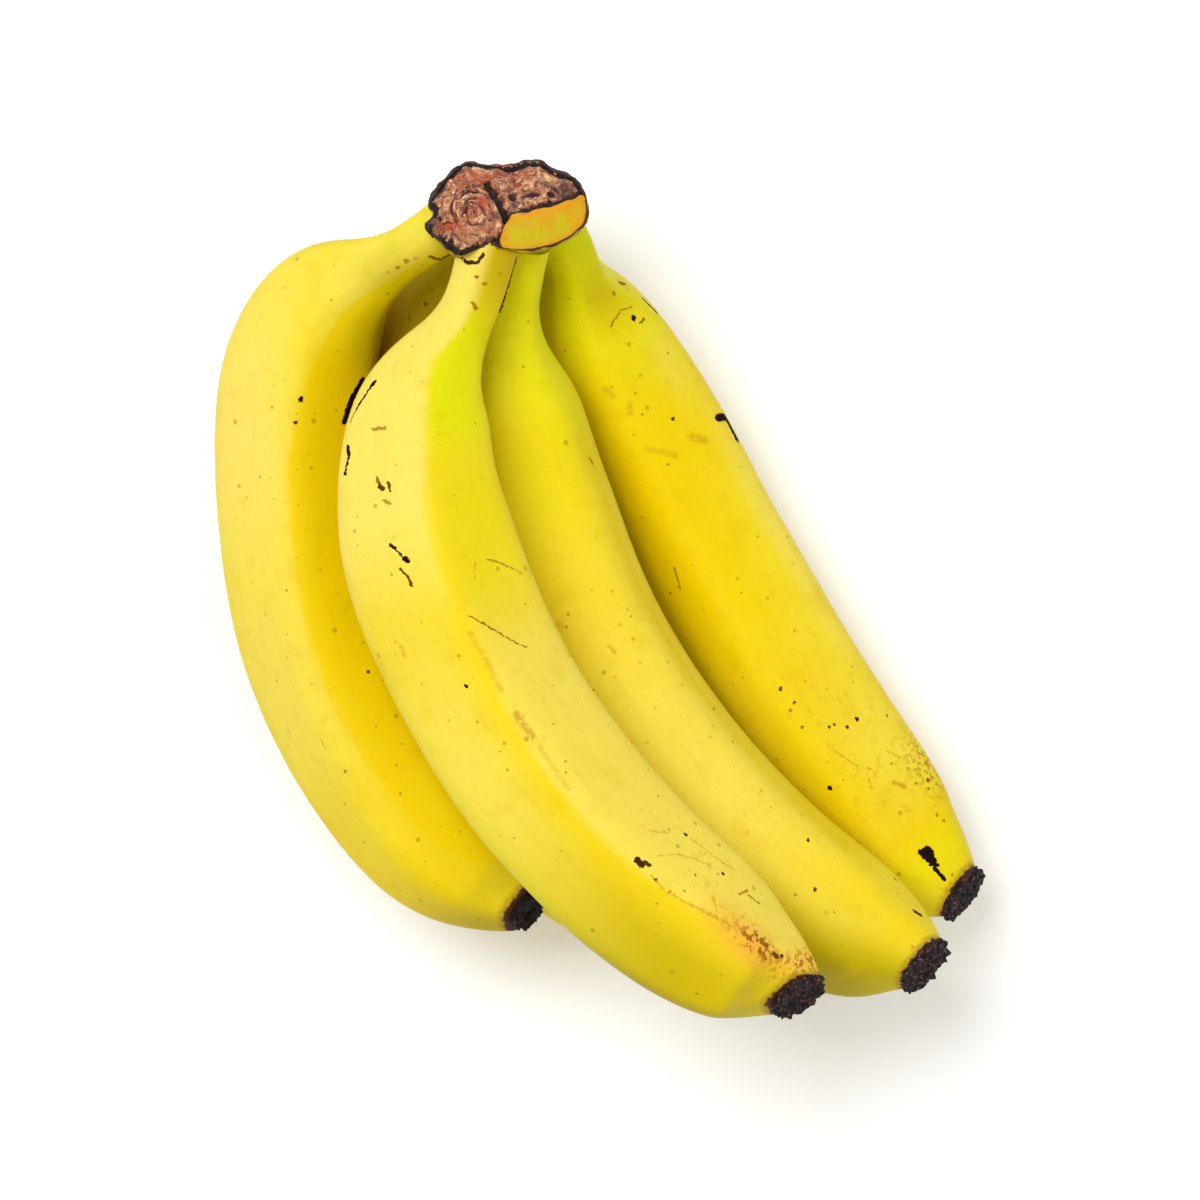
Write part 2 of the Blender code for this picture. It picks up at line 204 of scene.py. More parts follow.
# Its rings from the bottom up: height, share of the outline and lean away from the fingers.
CROWN_LEVELS = ((-34, .62, 1.6), (-33, .8, 1.6), (-30, .9, 1.6), (-22, .95, 1.3), (-12, 1, .6), (-4, 1, .2),
                (4, 1, 0), (14, .97, 0))
CUT_AT, CUT_OUT = (-20, 84.5, -1), (-0.05, 0.70, 0.71)
PARE_AT, PARE_OUT = (-12, 80, 2.6), (0.36, 0.27, 0.89)
LOBE = (-27.2, 82.9)           # middle of the round fibrous knob
# The fresh yellow shoulder, from above.
SHOULDER = ((-21.6, 77.3), (-20.6, 80.4), (-18.8, 82.5), (-14.8, 83.7), (-10.8, 84.7), (-6.6, 85.8),
            (-4.4, 87.3), (-1, 87.5), (-1, 78), (-6, 74), (-14, 72), (-19, 73.5), (-21, 75.6))
# Folds in the cut face: points, half width, depth. The finish paints them near black, partly dark
# fibre and partly painted shade in the crevices.
FOLDS = ((((-24.4, 90), (-22.2, 86.6), (-20.8, 83.2), (-19.6, 80.6), (-21.2, 78), (-23.2, 76.4)), .95, 2.2),
         (((-20.6, 82.6), (-17, 84.2), (-13, 85.1), (-9.5, 85.9), (-6, 86.6), (-4.4, 88)), .75, 1.3),
         (((-34, 78), (-31.6, 76), (-30.2, 74.4)), .7, 1.6),
         (((-29.8, 87.4), (-27.4, 89.2), (-24.6, 89)), .3, .6),
         (((-30.6, 85.6), (-28.4, 87.4), (-25.6, 87.6), (-23.8, 86)), .35, .7),
         (((-29.6, 81.2), (-28.2, 84.2), (-25.8, 84.8)), .35, .6),
         (((-34.6, 82.6), (-33.8, 80.8), (-31.4, 80.4)), .35, .6),
         (((-12.2, 91.8), (-10.6, 89.4), (-8.2, 87.6)), .35, .6), (((-18.6, 90.6), (-15.4, 91)), .3, .4))
# Pits and bosses in the cut face: middle, half widths, height.
LUMPS = (((-14.6, 88.0), (2.1, 1.2), -1.3), ((-18.9, 87.3), (1.2, 1.0), -1.1),
         ((-22.7, 88.6), (1.3, .8), -.9),
         ((-10.6, 87.9), (1.3, .9), -.7), ((-16.4, 90.4), (2.2, 1.2), .6), ((-9.0, 89.4), (1.6, 1.0), .5),
         ((-36.2, 80.8), (1.8, 2.2), .8), ((-28.2, 74.6), (1.8, 1.0), .9), ((-27.2, 82.9), (2.0, 2.4), .5))


# ---------------------------------------------------------------- shape
def place(point):
    """A point of the tables as a place on the table top, in metres."""
    x, y, z = point
    return Vector(((x - CENTRE[0]) * MM, (y - CENTRE[1]) * MM, (z - GROUND) * MM))


def smooth_path(knots, count):
    """Cubic spline through the knots, sampled evenly along its length."""
    p = np.array(knots, float)
    u = np.r_[0, np.cumsum(np.linalg.norm(np.diff(p, axis=0), axis=1))]
    h, n = np.diff(u), len(p)
    a, b = np.eye(n), np.zeros_like(p)
    for i in range(1, n - 1):
        a[i, i - 1:i + 2] = h[i - 1], 2 * (h[i - 1] + h[i]), h[i]
        b[i] = 6 * ((p[i + 1] - p[i]) / h[i] - (p[i] - p[i - 1]) / h[i - 1])
    m = np.linalg.solve(a, b)
    s = np.linspace(0, u[-1], 1200)
    k = np.clip(np.searchsorted(u, s, side="right") - 1, 0, n - 2)
    hk, x, y = h[k][:, None], (u[k + 1] - s)[:, None], (s - u[k])[:, None]
    q = (m[k] * x ** 3 + m[k + 1] * y ** 3) / (6 * hk)
    q += (p[k] / hk - m[k] * hk / 6) * x + (p[k + 1] / hk - m[k + 1] * hk / 6) * y
    length = np.r_[0, np.cumsum(np.linalg.norm(np.diff(q, axis=0), axis=1))]
    even = np.linspace(0, length[-1], count)
    return np.stack([np.interp(even, length, q[:, i]) for i in range(p.shape[1])], 1), length[-1]


def frames(path, length, face):
    """Forward, sideways and upward directions along a path; the last 14 mm turn towards the end face."""
    t = np.gradient(path, axis=0)
    t /= np.linalg.norm(t, axis=1)[:, None]
    w = np.clip(1 - np.linspace(length, 0, len(path)) / 14, 0, 1)[:, None]
    w = w * w * (3 - 2 * w)
    t = t * (1 - w) + np.array(face) * w
    t /= np.linalg.norm(t, axis=1)[:, None]
    side = np.cross(t, (0, 0, 1))
    side /= np.linalg.norm(side, axis=1)[:, None]
    return t, side, np.cross(side, t)


def five_facets(ring):
    """Radius of a softly rounded pentagon with a ridge at angle 0, about 1 on average."""
    facets = np.radians(36 + 72 * np.arange(5))
    lobes = np.maximum(0, np.cos(ring[:, None] - facets)) ** FACET
    radius = lobes.sum(1) ** (-1 / FACET)
    return radius / radius.mean()


def grow(name, rings):
    """Closed body grown ring by ring from a first disc; returns it with each vertex's ring and column."""
    bm = bmesh.new()
    where = bm.verts.layers.int.new("where")
    sides = len(rings[0])
    first = bmesh.ops.create_circle(bm, cap_ends=True, segments=sides, radius=1)["verts"]
    face = first[0].link_faces[0]
    for step, ring in enumerate(rings):
        if step:
            grown = bmesh.ops.extrude_face_region(bm, geom=[face])["geom"]
            if step > 1:
                bmesh.ops.delete(bm, geom=[face], context="FACES_ONLY")
            face = [g for g in grown if isinstance(g, bmesh.types.BMFace)][0]
        for column, (loop, point) in enumerate(zip(face.loops, ring)):
            loop.vert.co = place(point)
            loop.vert[where] = step * sides + column
    bmesh.ops.recalc_face_normals(bm, faces=bm.faces)
    for f in bm.faces:
        f.smooth = len(f.verts) < 6
    mesh = bpy.data.meshes.new(name)
    bm.verts.ensure_lookup_table()
    order = np.array([v[where] for v in bm.verts])
    bm.to_mesh(mesh)
    bm.free()
    mesh.attributes.remove(mesh.attributes["where"])
    obj = bpy.data.objects.new(name, mesh)
    bpy.context.scene.collection.objects.link(obj)
    return obj, order


def give(obj, name, values):
    """Store one number per vertex under a name that the finish can read."""
    layer = obj.data.attributes.new(name, "FLOAT", "POINT")
    layer.data.foreach_set("value", np.asarray(values, np.float32))


def finger(number):
    """One banana: a five-ridged tube along its axis, with its washes of tone, among them painted highlight and
    painted shade, stored on it.
    """
    spec = FINGERS[number]
    path, length = smooth_path(spec["axis"], STEPS)
    stop = length - END_GAP
    s = np.linspace(0, 1, RINGS)
    s = stop * (s - 0.09 * np.sin(2 * np.pi * s))
    t, side, up = frames(path, length, spec["face"])
    knots = [(x * (spec["neck"] if x < 0.3 else 1) * length,
              y * (spec["stalk"] if x < 0.1 else 1) * spec["radius"]) for x, y in SHAPE]
    shape = smooth_path(knots, 900)[0]
    radius = np.interp(s * length / stop, shape[:, 0], shape[:, 1])
    at = np.linspace(0, length, STEPS)
    pick = lambda v: np.stack([np.interp(s, at, v[:, i]) for i in range(3)], 1)
    c, side, up = pick(path), pick(side), pick(up)
    turn = np.radians(spec["ridge"] + spec["turn"] * (s / length - 0.5))
    ring = np.arange(SIDES) * 2 * np.pi / SIDES
    crisp = np.interp(s / length, (0, .15, .35, .9, 1), (.55, .7, 1, 1, .7))
    swell = 1 + (five_facets(ring)[None] - 1) * crisp[:, None]
    ang = turn[:, None] + ring[None]
    r = radius[:, None] * swell
    dirs = side[:, None] * np.sin(ang)[..., None] + up[:, None] * np.cos(ang)[..., None]
    pts = c[:, None] + dirs * r[..., None]
    flat = pts.reshape(-1, 3)
    seed = Vector((number * 37.0, 0, 0))
    uneven = lambda q: noise.noise(q * 0.045 + seed) * 0.35 + noise.noise(q * 0.14 + seed) * 0.10
    wobble = np.array([uneven(Vector(q)) for q in flat]).reshape(r.shape)
    pts = pts + dirs * wobble[..., None]
    pts[..., 2] = np.maximum(pts[..., 2], GROUND)
    obj, order = grow("peel_%d" % number, pts)
    deg = (180 - np.degrees(ang)) % 360 - 180
    along = np.repeat(s[:, None], SIDES, 1)
    kinds = ("green", "gold_and_shade", "pale", "ochre", "umber_and_shade", "shade", "flush", "speck", "scuff")
    washes = {kind: np.zeros(r.shape) for kind in kinds}
    for kind, at_mm, reach, at_deg, spread, strength, *edge in WASHES[number]:
        off = (deg - at_deg + 180) % 360 - 180
        edge = edge[0] if edge else USUAL_EDGE
        blob = np.exp(-((along - at_mm) / reach) ** 2 - np.abs(off / spread) ** edge)
        washes[kind] = np.maximum(washes[kind], strength * blob)
    for kind, strength, soft, fade, stations in FACETS.get(number, ()):
        at_mm, first, last = np.array(stations, float).T
        into = np.clip((deg - np.interp(along, at_mm, first)) / soft[0] + 0.5, 0, 1)
        left = np.clip((np.interp(along, at_mm, last) - deg) / soft[1] + 0.5, 0, 1)
        reach = np.clip(np.minimum(along - at_mm[0], at_mm[-1] - along) / fade + 1, 0, 1)
        washes[kind] = np.maximum(washes[kind], strength * into * left * reach)
    washes["pale"] *= 1 - 0.9 * np.clip(washes["gold_and_shade"] + washes["green"], 0, 1)
    for kind, value in washes.items():
        give(obj, kind, value.reshape(-1)[order])
    ridge = (0.5 + 0.5 * np.cos(5 * ring)) ** 6
    give(obj, "ridge", np.repeat(ridge[None], RINGS, 0).reshape(-1)[order])
    give(obj, "tip", (stop - along).reshape(-1)[order])
    uv = obj.data.uv_layers.new(name="wrap")
    corners = [l.vertex_index for l in obj.data.loops]
    columns = (order % SIDES)[corners].astype(float)
    rows = along.reshape(-1)[order][corners]
    for poly in obj.data.polygons:
        span = columns[poly.loop_start:poly.loop_start + poly.loop_total]
        if poly.loop_total == 4 and span.max() - span.min() > SIDES / 2:
            span[span < SIDES / 2] += SIDES
    uv.data.foreach_set("uv", np.stack([columns * GIRTH / SIDES, rows], 1).reshape(-1).astype(np.float32))
    return obj


def flower_end(number):
    """The dry, crumbling remnant of the flower: a thin torn disc on the end face."""
    spec = FINGERS[number]
    path, length = smooth_path(spec["axis"], STEPS)
    t, side, up = [v[-1] for v in frames(path, length, spec["face"])]
    tip = path[-1]
    ring = np.arange(96) * 2 * np.pi / 96
    profile = smooth_path(((-1.6, .93), (-.8, 1.0), (0, 1.05), (.7, 1.0), (1.2, .88), (1.2, .72), (.8, .5),
                           (.4, .3), (.3, .1)), 46)[0]
    rings = []
    for along, size in profile:
        free = min(1.0, max(0.0, (along + 1.6) / 1.5))
        out = []
        for a in ring:
            d = side * np.sin(a) + up * np.cos(a)
            q = Vector(tip + t * along + d * size * spec["stub"])
            lump = 0.25 * np.cos(5 * a + number) + 0.2 * np.cos(11 * a + 2 * number)
            lump += noise.noise(q * 0.45 + Vector((number * 11, 3, 0)))
            lump += noise.noise(q * 1.1) * 0.9 + noise.noise(q * 2.4) * 0.6
            chip = noise.noise(q * 0.6 + Vector((0, 9, number))) + 0.8 * noise.noise(q * 1.5)
            reach = size * spec["stub"] + lump * 0.55 * free * size
            out.append(tip + t * (along + chip * 0.9 * free) + d * reach)
        rings.append(out)
    obj = grow("flower_remnant_%d" % number, rings)[0]
    # Finger 1's flower end is made darker than the others.
    give(obj, "darkened", np.full(len(obj.data.vertices), 0.7 if number == 1 else 0.0))
    return obj


def cut_flat(bm, point, normal):
    """Slice a body flat at a point and close the slice."""
    geom = bm.verts[:] + bm.edges[:] + bm.faces[:]
    cut = bmesh.ops.bisect_plane(bm, geom=geom, plane_co=place(point), plane_no=Vector(normal),
                                 clear_outer=True)["geom_cut"]
    bmesh.ops.contextual_create(bm, geom=[e for e in cut if isinstance(e, bmesh.types.BMEdge)])
    bmesh.ops.recalc_face_normals(bm, faces=bm.faces)


def to_line(points, line):
    """Distance in plan from each point to a line through a few places."""
    best = np.full(len(points), 1e9)
    line = np.array(line, float)
    for a, b in zip(line[:-1], line[1:]):
        run = b - a
        share = np.clip((points - a) @ run / (run @ run), 0, 1)
        best = np.minimum(best, np.linalg.norm(points - a - share[:, None] * run, axis=1))
    return best


def inside(points, outline):
    """True for each point that lies within a closed outline in plan."""
    x, y = points[:, 0], points[:, 1]
    odd = np.zeros(len(points), bool)
    for (ax, ay), (bx, by) in zip(outline, outline[1:] + outline[:1]):
        crosses = (ay > y) != (by > y)
        odd ^= crosses & (x < ax + (y - ay) * (bx - ax) / ((by - ay) or 1e-9))
    return odd


def crown():
    """Woody pad: a slanting fibrous cut, a fresh pared shoulder and a dark rim."""
    edge = np.array(CROWN_EDGE + CROWN_EDGE[:1], float)
    run = np.r_[0, np.cumsum(np.linalg.norm(np.diff(edge, axis=0), axis=1))]
    even = np.linspace(0, run[-1], 161)[:-1]
    edge = np.stack([np.interp(even, run, edge[:, i]) for i in (0, 1)], 1)[::-1]
    for _ in range(3):
        edge = (np.roll(edge, 1, 0) + 2 * edge + np.roll(edge, -1, 0)) / 4
    rings = [[(*(np.array(CROWN_MIDDLE) + (0, lean) + (p - CROWN_MIDDLE) * size), z) for p in edge]
             for z, size, lean in CROWN_LEVELS]
    obj, order = grow("crown_pad", rings)
    bm = bmesh.new()
    bm.from_mesh(obj.data)
    cut_flat(bm, CUT_AT, CUT_OUT)
    cut_flat(bm, PARE_AT, PARE_OUT)
    bm.to_mesh(obj.data)
    bm.free()
    mod = obj.modifiers.new("skin", "REMESH")
    mod.mode, mod.voxel_size = "VOXEL", 0.38 * MM
    deps = bpy.context.evaluated_depsgraph_get()
    mesh = bpy.data.meshes.new_from_object(obj.evaluated_get(deps))
    obj.modifiers.clear()
    obj.data = mesh
    carve_crown(obj, np.vstack([edge, edge[:1]]))
    return obj


def carve_crown(obj, edge):
    """Fibres, rings, folds and pits in the cut; the pared shoulder stays smooth."""
    mesh = obj.data
    n = len(mesh.vertices)
    co = np.empty(n * 3)
    mesh.vertices.foreach_get("co", co)
    co = co.reshape(-1, 3) / MM + (CENTRE[0], CENTRE[1], GROUND)
    nor = np.array([v.normal for v in mesh.vertices])
    cut_n = np.array(CUT_OUT) / np.linalg.norm(CUT_OUT)
    pare_n = np.array(PARE_OUT) / np.linalg.norm(PARE_OUT)
    under_cut = -(co - CUT_AT) @ cut_n
    under_pare = -(co - PARE_AT) @ pare_n
    on_cut = np.clip(1 - under_cut / 0.8, 0, 1)
    pared = np.clip(1 - under_pare / 0.6, 0, 1)
    plan = co[:, :2]
    rim = to_line(plan, edge)
    d = plan - LOBE
    ring = np.hypot(d[:, 0], d[:, 1] / 1.12)
    arc = np.arctan2(d[:, 1], d[:, 0])
    grain = lambda scale, shift=(0, 0, 0): np.array(
        [noise.noise(Vector(q) * scale + Vector(shift)) for q in co])
    fibre = grain(0.55)
    grit = grain(1.6)
    coarse = grain(0.22, (5, 1, 2))
    knob = np.exp(-(ring / 7.4) ** 6)
    swirl = np.sin(ring * 2.2 + 4.0 * coarse + 1.1 * np.sin(arc * 2 + 0.5) + 0.8 * fibre) * knob
    wander = plan + 0.5 * np.stack([grain(0.5, (7, 0, 0)), grain(0.5, (0, 7, 0))], 1)
    border = to_line(wander, SHOULDER + SHOULDER[:1])
    fresh = np.clip(0.5 + np.where(inside(wander, SHOULDER), border, -border) / 0.6, 0, 1)
    fold = np.zeros(n)
    move = 1.4 * knob * (1 - (ring / 8.5) ** 2) + 0.4 * swirl
    for points, width, depth in FOLDS:
        near = np.exp(-(to_line(wander, points) / width) ** 2)
        fold = np.maximum(fold, near * min(1, depth))
        move -= depth * near
    pit = np.zeros(n)
    for middle, half, height in LUMPS:
        near = np.exp(-((wander - middle) ** 2 / np.array(half) ** 2).sum(1) * 1.2)
        move += height * near
        if height < 0:
            pit = np.maximum(pit, near)
    move += 0.9 * coarse + 0.6 * fibre + 0.4 * grit
    move -= 0.9 * np.exp(-(rim / 0.9) ** 2)
    up = np.maximum(on_cut, pared)
    rough = up * (1 - fresh)
    smooth = up * fresh
    wall = 1 - up
    move = (rough * move + wall * (0.6 * coarse + 0.3 * fibre + 0.12 * grit)
            + smooth * (0.25 * coarse + 0.35 * np.exp(-(border / 0.8) ** 2)
                        - 0.5 * np.exp(-(rim / 0.7) ** 2)))
    out = (co + nor * move[:, None] - (CENTRE[0], CENTRE[1], GROUND)) * MM
    mesh.vertices.foreach_set("co", out.reshape(-1))
    spot = lambda middle, half: np.exp(-((wander - middle) ** 2 / np.array(half) ** 2).sum(1))
    thick = np.interp(plan[:, 0], (-36, -30, -26, -8, -4), (1.7, 1.1, .75, .65, 1.2))
    give(obj, "up", up)
    give(obj, "fresh", fresh)
    give(obj, "fold", fold)
    give(obj, "pit", pit)
    give(obj, "rim", np.exp(-(rim / thick) ** 2))
    give(obj, "lip", np.exp(-(rim / 0.7) ** 2))
    give(obj, "knob", knob)
    give(obj, "ring", ring)
    give(obj, "arc", arc)
    give(obj, "swirl", swirl)
    give(obj, "margin", np.clip(np.exp(-(border / 1.6) ** 2) + np.exp(-(rim / 1.3) ** 2), 0, 1))
    give(obj, "red", spot((-32.4, 79.8), (2.4, 1.0)) + 0.8 * spot((-25.2, 84.6), (1.6, 1.3))
         + 0.6 * spot((-27.5, 91.5), (6, 1.2)) + 0.5 * spot((-17, 92), (3, 1)))
    give(obj, "plum", spot((-36, 80.6), (1.8, 2.6)) + spot((-7.4, 88.2), (2.6, 1.8))
         + 0.6 * spot((-20, 77.5), (1.6, 1.6)))
    give(obj, "cream", spot((-28.4, 74.6), (2.2, .6)) + 0.7 * spot((-11, 91.4), (2, .7)))
    far_side = np.clip(np.maximum((co[:, 1] - 85) / 3, (-35.5 - co[:, 0]) / 1.5), 0, 1)
    give(obj, "back", far_side * np.clip((co[:, 2] + 20) / 8, 0, 1))
    for p in mesh.polygons:
        p.use_smooth = True


# ---------------------------------------------------------------- finishes
def hue(r, g, b):
    """A colour given as screen values from 0 to 255."""
    lin = [(v / 255 / 12.92 if v <= 10 else ((v / 255 + 0.055) / 1.055) ** 2.4) for v in (r, g, b)]
    return (*lin, 1)


class Mix:
    """Small helper that wires a finish."""

    def __init__(self, name, roughness):
        self.mat = bpy.data.materials.new(name)
        self.mat.use_nodes = True
        self.tree = self.mat.node_tree
        self.shader = self.tree.nodes["Principled BSDF"]
        self.shader.inputs["Roughness"].default_value = roughness
        coords = self.tree.nodes.new("ShaderNodeTexCoord")
        scale = self.node("ShaderNodeVectorMath", operation="SCALE")
        scale.inputs["Scale"].default_value = 1 / MM
        self.link(coords.outputs["Object"], scale.inputs[0])
        self.mm = scale.outputs[0]

    def node(self, kind, **props):
        made = self.tree.nodes.new(kind)
        for key, value in props.items():
            setattr(made, key, value)
        return made

    def link(self, a, b):
        self.tree.links.new(a, b)

    def put(self, socket, value):
        if isinstance(value, bpy.types.NodeSocket):
            self.link(value, socket)
        else:
            socket.default_value = value

    def attribute(self, name):
        return self.node("ShaderNodeAttribute", attribute_name=name).outputs["Fac"]

    def math(self, op, a, b=0.0, c=0.0, clamp=False):
        made = self.node("ShaderNodeMath", operation=op, use_clamp=clamp)
        for socket, value in zip(made.inputs, (a, b, c)):
            self.put(socket, value)
        return made.outputs[0]

    def step(self, value, low, high):
        made = self.node("ShaderNodeMapRange", interpolation_type="SMOOTHSTEP")
        for socket, v in zip(made.inputs, (value, low, high, 0.0, 1.0)):
            self.put(socket, v)
        return made.outputs[0]

    def noise(self, scale, detail=2.0, vector=None, distortion=0.0):
        made = self.node("ShaderNodeTexNoise")
        self.link(vector or self.mm, made.inputs["Vector"])
        made.inputs["Scale"].default_value = scale
        made.inputs["Detail"].default_value = detail
        made.inputs["Distortion"].default_value = distortion
        return made.outputs["Fac"]

    def colour(self, factor, a, b):
        made = self.node("ShaderNodeMix", data_type="RGBA")
        self.put(made.inputs[0], factor)
        self.put(made.inputs[6], a)
        self.put(made.inputs[7], b)
        return made.outputs[2]

    def bump(self, height, strength, distance):
        made = self.node("ShaderNodeBump")
        made.inputs["Strength"].default_value = strength
        made.inputs["Distance"].default_value = distance * MM
        self.put(made.inputs["Height"], height)
        self.link(made.outputs[0], self.shader.inputs["Normal"])


def stretched(m, across, along):
    """Surface coordinates in mm, drawn out along the finger."""
    wrap = m.node("ShaderNodeUVMap", uv_map="wrap")
    mapping = m.node("ShaderNodeMapping")
    m.link(wrap.outputs[0], mapping.inputs["Vector"])
    mapping.inputs["Scale"].default_value = (across, along, 1)
    return mapping.outputs[0]


def freckles(m, scale, size, share):
    """Scattered soft dots: cell size from scale, dot size and share of cells that have one."""
    cells = m.node("ShaderNodeTexVoronoi")
    m.link(m.mm, cells.inputs["Vector"])
    cells.inputs["Scale"].default_value = scale
    pick = m.node("ShaderNodeSeparateColor")
    m.link(cells.outputs["Color"], pick.inputs[0])
    chosen = m.math("GREATER_THAN", share, pick.outputs[0])
    reach = m.math("MULTIPLY_ADD", pick.outputs[1], size, size * 0.4)
    dot = m.step(m.math("DIVIDE", cells.outputs["Distance"], reach), 1.0, 0.55)
    return m.math("MULTIPLY", dot, chosen)


def blemish_and_shadow_stroke(m, warped, start, end, width, depth):
    """1 inside a dot or a short stroke between two points on the peel, 0 outside."""
    if end is None:
        gap = m.node("ShaderNodeVectorMath", operation="DISTANCE")
        m.link(warped, gap.inputs[0])
        gap.inputs[1].default_value = start
        away = gap.outputs["Value"]
    else:
        run = Vector(end) - Vector(start)
        rel = m.node("ShaderNodeVectorMath", operation="SUBTRACT")
        m.link(warped, rel.inputs[0])
        rel.inputs[1].default_value = start
        dot = m.node("ShaderNodeVectorMath", operation="DOT_PRODUCT")
        m.link(rel.outputs[0], dot.inputs[0])
        dot.inputs[1].default_value = run / run.length_squared
        share = m.math("MULTIPLY", dot.outputs["Value"], 1.0, clamp=True)
        foot = m.node("ShaderNodeVectorMath", operation="SCALE")
        foot.inputs[0].default_value = run
        m.link(share, foot.inputs["Scale"])
        gap = m.node("ShaderNodeVectorMath", operation="DISTANCE")
        m.link(rel.outputs[0], gap.inputs[0])
        m.link(foot.outputs[0], gap.inputs[1])
        away = gap.outputs["Value"]
    return m.step(away, width * (1.25 if depth >= 0.5 else 1.7), width * (0.8 if depth >= 0.5 else 0.3))


def on_peel(number, obj):
    """Blemish strokes and painted shadow strokes laid on the surface, each between two points or at one."""
    tree = BVHTree.FromObject(obj, bpy.context.evaluated_depsgraph_get())
    eye = place((0, 0, EYE))
    for points, width, depth in MARKS[number]:
        laid = [tree.ray_cast(eye, (place((x, y, 0)) - eye).normalized())[0] for x, y in points]
        if None in laid:
            print("blemish off the peel:", number, points)
        laid = [p / MM for p in laid if p]
        for start, end in zip(laid, laid[1:] or [None] * len(laid)):
            yield start, end, width, depth


def peel(number, obj):
    """Ripe peel: yellow with green neck, gold facets partly painted shade, pale facets of painted highlight,
    washes of painted shade, freckles, its own blemishes and painted shadow strokes.
    """
    m = Mix("ripe_peel_%d" % number, 0.5)
    big = m.noise(0.035, 2.0)
    middle = m.noise(0.12, 3.0)
    fine = m.noise(0.5, 3.0)
    streak = m.noise(1.0, 2.0, stretched(m, 0.9, 0.05))
    base = m.colour(m.step(big, .35, .65), hue(222, 200, 38), hue(220, 194, 20))
    soft = m.math("SUBTRACT", middle, 0.5)
    # Gold: a deeper yellow, partly painted shade on facets turned from the light or in a neighbour's shadow.
    gold_and_shade = m.math("MULTIPLY_ADD", soft, 0.6, m.attribute("gold_and_shade"))
    gold_and_shade = m.math("MULTIPLY", gold_and_shade, m.step(m.attribute("gold_and_shade"), .02, .2), clamp=True)
    base = m.colour(gold_and_shade, base, hue(223, 192, 0))
    # Painted highlight: the pale washes make lit facets, ridges and edges creamier.
    base = m.colour(m.math("MULTIPLY", m.attribute("pale"), 0.85), base, hue(226, 205, 98))
    patch = m.math("MULTIPLY_ADD", soft, m.attribute("green"), m.attribute("green"))
    base = m.colour(m.math("MULTIPLY", patch, 0.95, clamp=True), base, hue(206, 208, 0))
    base = m.colour(m.attribute("ochre"), base, hue(178, 150, 8))
    base = m.colour(m.attribute("shade"), base, hue(156, 136, 2))
    # Umber: brown, partly painted shade in the crevices between fingers.
    base = m.colour(m.attribute("umber_and_shade"), base, hue(124, 76, 4))
    base = m.colour(m.attribute("flush"), base, hue(232, 168, 56))
    base = m.colour(m.math("MULTIPLY", m.step(middle, .54, .74), 0.25), base, hue(204, 172, 12))
    base = m.colour(m.math("MULTIPLY", m.step(streak, .52, .75), 0.12), base, hue(186, 162, 8))
    base = m.colour(m.math("MULTIPLY", m.step(fine, .55, .8), 0.2), base, hue(182, 158, 10))
    worn = m.math("MULTIPLY", m.attribute("ridge"), m.step(m.noise(0.2, 4.0), .48, .75))
    base = m.colour(m.math("MULTIPLY", worn, 0.2), base, hue(196, 160, 16))
    base = m.colour(m.math("MULTIPLY", freckles(m, 0.22, 0.12, 0.6), 0.6), base, hue(156, 128, 2))
    base = m.colour(m.math("MULTIPLY", freckles(m, 0.36, 0.12, 0.22), 0.7), base, hue(138, 104, 6))
    crack = m.node("ShaderNodeTexVoronoi", feature="DISTANCE_TO_EDGE")
    m.link(m.mm, crack.inputs["Vector"])
    crack.inputs["Scale"].default_value = 0.30
    lines = m.step(crack.outputs["Distance"], .045, .0)
    lines = m.math("MULTIPLY", lines, m.step(m.noise(0.35, 3.0), .48, .62))
    blotch = m.step(m.noise(0.42, 4.0), .56, .70)
    scuff = m.math("MULTIPLY", m.attribute("scuff"), m.math("ADD", lines, blotch), clamp=True)
    base = m.colour(m.math("MULTIPLY", scuff, 0.42), base, hue(196, 146, 22))
    speck = m.math("MULTIPLY", m.attribute("speck"), m.step(m.noise(0.85, 3.0), .50, .57))
    base = m.colour(m.math("MULTIPLY", speck, 0.85, clamp=True), base, hue(132, 50, 12))
    brink = m.math("MULTIPLY_ADD", m.noise(0.9, 3.0), -1.6, m.attribute("tip"))
    base = m.colour(m.math("MULTIPLY", m.step(brink, 1.4, .1), .7), base, hue(160, 124, 30))
    base = m.colour(m.step(brink, .2, -.3), base, hue(70, 40, 26))
    warp = m.node("ShaderNodeTexNoise")
    m.link(m.mm, warp.inputs["Vector"])
    warp.inputs["Scale"].default_value = 1.3
    warp.inputs["Detail"].default_value = 2.0
    shift = m.node("ShaderNodeVectorMath", operation="MULTIPLY_ADD")
    m.link(warp.outputs["Color"], shift.inputs[0])
    shift.inputs[1].default_value = (1.1, 1.1, 1.1)
    less = m.node("ShaderNodeVectorMath", operation="SUBTRACT")
    m.link(m.mm, less.inputs[0])
    less.inputs[1].default_value = (0.55, 0.55, 0.55)
    m.link(less.outputs[0], shift.inputs[2])
    dark, stain = 0.0, 0.0
    for start, finish, width, depth in on_peel(number, obj):
        mask = m.math("MULTIPLY", blemish_and_shadow_stroke(m, shift.outputs[0], start, finish, width, depth), depth)
        if depth >= 0.5:
            dark = m.math("MAXIMUM", dark, mask)
        else:
            stain = m.math("MAXIMUM", stain, mask)
    broken = m.step(m.noise(0.8, 2.0), .28, .50)
    stain = m.math("MULTIPLY", stain, broken)
    base = m.colour(m.math("MULTIPLY", stain, 1.6, clamp=True), base, hue(182, 128, 14))
